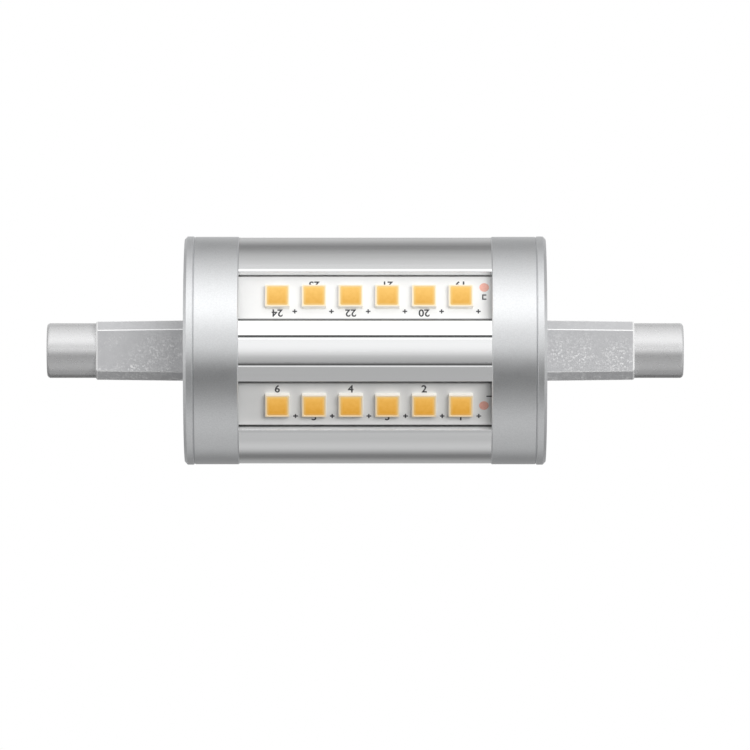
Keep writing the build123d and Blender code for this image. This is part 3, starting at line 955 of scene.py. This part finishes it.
class LAMP_OT_wiring(Operator):
    """Finish the winding, the leads and the wires"""

    bl_idname = "lamp.wiring"
    bl_label = "Wiring"
    bl_options = {"REGISTER", "UNDO"}

    def execute(self, context):
        settings = context.scene.lamp_driver
        copper = bare_metal("copper_wire", settings.copper, rough=0.35)
        finish_nodes(["transformer_coil", "led_leads", "board_links"], copper)
        cover = moulded("wire_cover", settings.wire_cover, rough=0.45)
        finish_nodes([f"supply_wire_{end}" for end in ENDS], cover)
        return {"FINISHED"}


class LAMP_OT_stage(Operator):
    """Set up the floor, the reflection tent, the light and the camera"""

    bl_idname = "lamp.stage"
    bl_label = "Studio"
    bl_options = {"REGISTER", "UNDO"}

    floor_half = 4.0
    # Distances from the lamp between which the floor goes over into white
    fade = (0.35, 1.1)
    # Sines of the angles above the horizon between which the fill goes from that of below to that of above
    horizon = (-0.15, 0.35)
    # Brightness of the tent round the lamp's axis, by angle: 0 is towards the camera and 90 overhead
    tent = {
        -180: 0.55, -155: 0.4, -135: 0.15, -115: 0.65, -100: 0.5, -80: 0.7, -65: 0.6, -40: 0.3,
        -25: 0.03, -15: 0.03, -5: 0.55, 0: 1.0, 7: 1.1, 15: 0.7, 22: 0.8, 32: 1.35,
        45: 1.5, 65: 1.2, 90: 0.75, 110: 0.5, 130: 0.2, 155: 0.55, 180: 0.55,
    }
    tent_peak = 1.6
    tent_radius = 0.5
    tent_half_length = 3.0
    tent_sides = 72

    def execute(self, context):
        scene = context.scene
        settings = scene.lamp_studio
        self.add_floor(scene, settings)
        self.add_tent(scene)
        self.add_world(scene, settings)
        self.add_key(scene, settings)
        self.add_camera(scene, settings)
        scene.view_settings.view_transform = "Standard"
        return {"FINISHED"}

    def add_stage_piece(self, scene, name, corners, faces, material):
        """Piece of the stage, which isn't part of the lamp."""
        mesh = bpy.data.meshes.new(name)
        mesh.from_pydata(corners, [], faces)
        mesh.materials.append(material)
        piece = bpy.data.objects.new(name, mesh)
        scene.collection.objects.link(piece)
        return piece

    def background_rays(self, net):
        """1 for a ray from the camera, a reflection or a see-through surface, and 0 for the rest."""
        path = net.nodes.new("ShaderNodeLightPath").outputs
        seen = net.combine("MAXIMUM", path["Is Camera Ray"], path["Is Glossy Ray"])
        return net.combine("MAXIMUM", seen, path["Is Transmission Ray"])

    def add_floor(self, scene, settings):
        """Pale floor that runs into the white background far from the lamp."""
        finish = Finish("floor", settings.floor, roughness=0.7)
        finish.vary_colour(finish.grain(50 * MM), shade(settings.floor, 0.99), shade(settings.floor, 1.01))
        reach = finish.combine_vectors("LENGTH", finish.places)["Value"]
        far = finish.between(reach, 0.0, 1.0, *self.fade)
        seen = finish.combine("MULTIPLY", far, self.background_rays(finish))
        white = finish.add("ShaderNodeEmission", Color=(1, 1, 1, 1), Strength=1.0)
        finish.show(finish.mix_shaders(seen, finish.shader, white), "Material Output")
        height = CAD_LOW.z - settings.floor_drop
        half = self.floor_half
        corners = box_points((-half, -half), (half, half), height)
        floor = self.add_stage_piece(scene, "floor", corners, [(0, 1, 2, 3)], finish.material)
        floor.visible_glossy = False
        floor.visible_diffuse = False

    def add_tent(self, scene):
        """Tent of light and dark panels round the lamp that only reflections see."""
        half = self.tent_half_length
        corners = []
        for i in range(self.tent_sides):
            turn = 2 * math.pi * i / self.tent_sides
            y, z = self.tent_radius * math.cos(turn), self.tent_radius * math.sin(turn)
            corners += [(-half, y, z), (half, y, z)]
        count = len(corners)
        faces = [(i, i + 1, (i + 3) % count, (i + 2) % count) for i in range(0, count, 2)]
        tent = self.add_stage_piece(scene, "tent", corners, faces, self.tent_light())
        tent.visible_camera = False
        tent.visible_diffuse = False
        tent.visible_shadow = False
        tent.visible_transmission = False

    def tent_light(self):
        """Light whose brightness goes by the angle round the lamp's axis."""
        material = bpy.data.materials.new("tent")
        material.use_nodes = True
        net = Nodes(material.node_tree)
        place = net.split(net.nodes.new("ShaderNodeTexCoord").outputs["Object"])
        turn = net.combine("ARCTAN2", place["Z"], net.combine("MULTIPLY", place["Y"], -1.0))
        ramp = net.add("ShaderNodeValToRGB", Fac=net.between(turn, 0.0, 1.0, -math.pi, math.pi))
        ramp.color_ramp.interpolation = "EASE"
        stops = ramp.color_ramp.elements
        for _ in range(len(self.tent) - len(stops)):
            stops.new(0.5)
        for stop, (degrees, radiance) in zip(stops, self.tent.items()):
            grey = radiance / self.tent_peak
            stop.position = (degrees + 180) / 360
            stop.color = (grey, grey, grey, 1)
        light = net.add("ShaderNodeEmission", Color=ramp.outputs[0], Strength=self.tent_peak)
        net.show(light, "Material Output")
        return material

    def add_world(self, scene, settings):
        """White for the camera and reflections, and a fill that is brighter overhead for the rest."""
        world = bpy.data.worlds.new("studio")
        world.use_nodes = True
        net = Nodes(world.node_tree)
        upward = net.split(net.nodes.new("ShaderNodeTexCoord").outputs["Generated"])["Z"]
        graded = net.between(upward, settings.fill_below, settings.fill_above, *self.horizon)
        fill = net.nodes["Background"]
        net.feed(fill.inputs["Color"], (1, 1, 1, 1))
        net.feed(fill.inputs["Strength"], graded)
        white = net.add("ShaderNodeBackground", Color=(1, 1, 1, 1))
        net.show(net.mix_shaders(self.background_rays(net), fill, white), "World Output")
        scene.world = world

    def add_key(self, scene, settings):
        """Large softbox above the camera and to its right."""
        lamp = bpy.data.lights.new("softbox", "AREA")
        lamp.shape = "RECTANGLE"
        lamp.size = settings.key_width
        lamp.size_y = settings.key_height
        lamp.energy = settings.key_radiance * math.pi * settings.key_width * settings.key_height
        softbox = bpy.data.objects.new("softbox", lamp)
        sideways = Matrix.Rotation(settings.key_azimuth, 3, "Z")
        upwards = Matrix.Rotation(-settings.key_elevation, 3, "X")
        direction = sideways @ upwards @ Vector((0, -1, 0))
        softbox.location = direction * settings.key_distance
        softbox.rotation_mode = "QUATERNION"
        softbox.rotation_quaternion = (-direction).to_track_quat("-Z", "Y")
        softbox.visible_camera = False
        softbox.visible_glossy = False
        scene.collection.objects.link(softbox)

    def add_camera(self, scene, settings):
        """Camera square on to the front bar."""
        view = bpy.data.cameras.new("camera")
        view.lens = settings.lens
        view.sensor_width = 36.0
        view.clip_start = 10 * MM
        camera = bpy.data.objects.new("camera", view)
        turn = Matrix.Rotation(-settings.camera_elevation, 4, "X")
        stand = Vector((settings.camera_right, -settings.camera_distance, -settings.camera_drop))
        camera.location = turn @ stand
        camera.rotation_euler = (math.pi / 2 - settings.camera_elevation, 0, 0)
        scene.collection.objects.link(camera)
        scene.camera = camera


class LAMP_PT_sidebar(Panel):
    """Steps and settings of the lamp"""

    bl_label = "LED Bulb"
    bl_idname = "LAMP_PT_sidebar"
    bl_space_type = "VIEW_3D"
    bl_region_type = "UI"
    bl_category = "LED Bulb"

    def draw(self, context):
        for step in OPERATORS:
            self.layout.operator(step.bl_idname)
        for name, group in SETTINGS.items():
            box = self.layout.box()
            for label in group.__annotations__:
                box.prop(getattr(context.scene, name), label)


OPERATORS = (
    LAMP_OT_heat_sink,
    LAMP_OT_end_sleeves,
    LAMP_OT_end_caps,
    LAMP_OT_contact_posts,
    LAMP_OT_round_ends,
    LAMP_OT_led_boards,
    LAMP_OT_leds,
    LAMP_OT_board_print,
    LAMP_OT_driver,
    LAMP_OT_wiring,
    LAMP_OT_stage,
)
SETTINGS = {
    "lamp_body": BodySettings,
    "lamp_ends": EndSettings,
    "lamp_boards": BoardSettings,
    "lamp_leds": LedSettings,
    "lamp_driver": DriverSettings,
    "lamp_studio": StudioSettings,
}


def register():
    """Add the settings, the operators and the panel to Blender."""
    for name, group in SETTINGS.items():
        bpy.utils.register_class(group)
        setattr(bpy.types.Scene, name, PointerProperty(type=group))
    for step in (*OPERATORS, LAMP_PT_sidebar):
        bpy.utils.register_class(step)


def unregister():
    """Take the settings, the operators and the panel out of Blender."""
    for step in (LAMP_PT_sidebar, *reversed(OPERATORS)):
        bpy.utils.unregister_class(step)
    for name, group in SETTINGS.items():
        delattr(bpy.types.Scene, name)
        bpy.utils.unregister_class(group)


def main():
    """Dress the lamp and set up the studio."""
    register()
    bpy.ops.lamp.heat_sink()
    bpy.ops.lamp.end_sleeves()
    bpy.ops.lamp.end_caps()
    bpy.ops.lamp.contact_posts()
    bpy.ops.lamp.round_ends()
    bpy.ops.lamp.led_boards()
    bpy.ops.lamp.leds()
    bpy.ops.lamp.board_print()
    bpy.ops.lamp.driver()
    bpy.ops.lamp.wiring()
    bpy.ops.lamp.stage()


if __name__ == "__main__":
    main()
